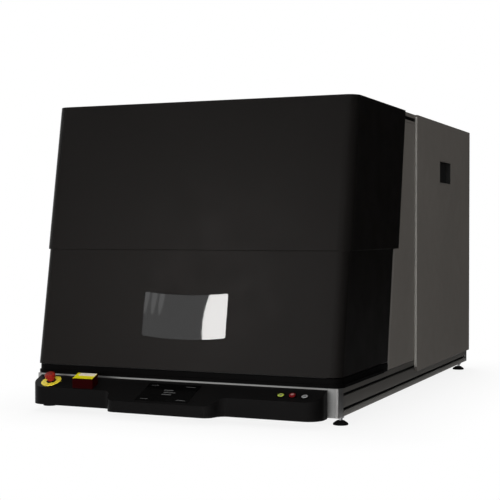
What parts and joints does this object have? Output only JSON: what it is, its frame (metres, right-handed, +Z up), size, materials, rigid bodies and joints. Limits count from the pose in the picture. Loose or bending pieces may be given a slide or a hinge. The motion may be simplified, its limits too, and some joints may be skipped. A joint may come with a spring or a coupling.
{
  "type": "laser marking machine",
  "caption": "Benchtop enclosed laser marker: leaning black hood with a rising windowed door, sloped control console in front, slotted metal base frame and flat grey side covers.",
  "frame": {"origin": "on the floor under the middle of the whole machine", "axes": "+X to the operator's right, +Y to the back, +Z up"},
  "size_m": [0.9724, 1.719, 0.9115],
  "materials": {
    "rail_front": "satin anodised",
    "rail_side": "satin anodised",
    "frame_profile": "natural extrusion",
    "end_cap": "smooth grey",
    "foot_rubber": "black",
    "steel_bright": "ground",
    "floor_plate": "grey powder coat",
    "black_trim": "satin black",
    "hood_black": "fine textured black",
    "panel_grey": "fine textured grey powder coat",
    "handle_black": "black",
    "duct_metal": "galvanised look",
    "isolator_yellow": "yellow",
    "isolator_red": "red",
    "inner_wall": "grey powder coat",
    "table_alu": "machined",
    "motor_black": "black",
    "cylinder_alu": "anodised",
    "light_white": "diffuser",
    "box_grey": "grey paint",
    "fan_black": "black",
    "tinted_glass": "smoke tinted",
    "seal_rubber": "black",
    "carriage_grey": "anodised grey",
    "laser_body": "black anodised",
    "lens_black": "black anodised",
    "console_black": "satin black",
    "pad_black": "gloss black",
    "estop_yellow": "yellow",
    "estop_grey": "dark grey",
    "estop_red": "red",
    "lamp_red": "deep red lens",
    "button_green": "green lens",
    "button_red": "red lens",
    "button_white": "clear lens"
  },
  "bodies": {
    "machine": {"front_rail": "rail_front", "rear_rail": "rail_front", "side_rail_left": "rail_side", "side_rail_right": "rail_side", "rail_end_caps": "end_cap", "cross_members": "frame_profile", "foot_pads": "foot_rubber", "foot_studs": "steel_bright", "base_plate": "floor_plate", "sill": "black_trim", "guide_posts": "frame_profile", "upright_posts": "frame_profile", "top_rails": "frame_profile", "upper_cover": "hood_black", "front_panel_left": "panel_grey", "front_panel_right": "panel_grey", "rear_cover_left": "panel_grey", "rear_cover_right": "panel_grey", "handle_cups": "handle_black", "top_cover": "panel_grey", "rear_panel": "panel_grey", "extraction_duct": "duct_metal", "extraction_spigot": "duct_metal", "mains_gland": "black_trim", "isolator_base": "isolator_yellow", "bulkhead": "inner_wall", "work_table": "table_alu", "table_legs": "frame_profile", "z_column": "table_alu", "z_motor": "motor_black", "linear_rails": "steel_bright", "lift_cylinders": "cylinder_alu", "light_bars": "light_white", "electronics_boxes": "box_grey", "fan_frame": "fan_black", "console_shell": "console_black", "console_tray": "console_black", "touch_pad": "pad_black", "estop_plate": "estop_yellow", "estop_body": "estop_grey", "lamp_box": "lamp_red", "button_bezels": "black_trim"},
    "door": {"door_shell": "hood_black", "window_pane": "tinted_glass", "window_frame": "black_trim", "door_carriages": "carriage_grey", "lift_rods": "steel_bright", "door_seal": "seal_rubber"},
    "laser_carriage": {"z_carriage": "carriage_grey", "laser_source": "laser_body", "scan_head": "laser_body", "scan_lens": "lens_black"},
    "height_screw": {"z_screw": "steel_bright"},
    "stop_plunger": {"estop_stem": "estop_red"},
    "stop_knob": {"estop_head": "estop_red"},
    "start_cap": {"green_button": "button_green"},
    "halt_cap": {"red_button": "button_red"},
    "light_cap": {"white_button": "button_white"},
    "isolator": {"isolator_knob": "isolator_red"},
    "fan": {"fan_rotor": "fan_black"}
  },
  "joints": [
    {"name": "door_slide", "type": "slide", "parent": "machine", "child": "door", "axis": [0, 0.1736, 0.9848], "range_m": [0, 0.34]},
    {"name": "height_slide", "type": "slide", "parent": "machine", "child": "laser_carriage", "axis": [0, 0, 1], "range_m": [-0.25, 0]},
    {"name": "height_screw_turn", "type": "hinge", "parent": "machine", "child": "height_screw", "pos_m": [0.117, -0.1085, 0.424], "axis": [0, 0, 1], "range_deg": [-9010, 10]},
    {"name": "stop_push", "type": "slide", "parent": "machine", "child": "stop_plunger", "axis": [0, -0.3584, 0.9336], "range_m": [-0.003, 0]},
    {"name": "stop_twist", "type": "hinge", "parent": "stop_plunger", "child": "stop_knob", "pos_m": [-0.406, -0.77463, 0.08563], "axis": [0, -0.3584, 0.9336], "range_deg": [-30, 0], "stiffness_Nm_per_rad": 0.05},
    {"name": "start_press", "type": "slide", "parent": "machine", "child": "start_cap", "axis": [0, -0.3584, 0.9336], "range_m": [-0.0025, 0], "stiffness_N_per_m": 600},
    {"name": "halt_press", "type": "slide", "parent": "machine", "child": "halt_cap", "axis": [0, -0.3584, 0.9336], "range_m": [-0.0025, 0], "stiffness_N_per_m": 600},
    {"name": "light_press", "type": "slide", "parent": "machine", "child": "light_cap", "axis": [0, -0.3584, 0.9336], "range_m": [-0.0025, 0], "stiffness_N_per_m": 600},
    {"name": "isolator_turn", "type": "hinge", "parent": "machine", "child": "isolator", "pos_m": [-0.29, 0.8215, 0.174], "axis": [0, 1, 0], "range_deg": [0, 90]},
    {"name": "fan_spin", "type": "hinge", "parent": "machine", "child": "fan", "pos_m": [-0.25, 0.7865, 0.674], "axis": [0, 1, 0], "continuous": true}
  ],
  "couplings": [
    {"joint": "height_screw_turn", "follows": "height_slide", "rad_per_m": 628.32}
  ]
}
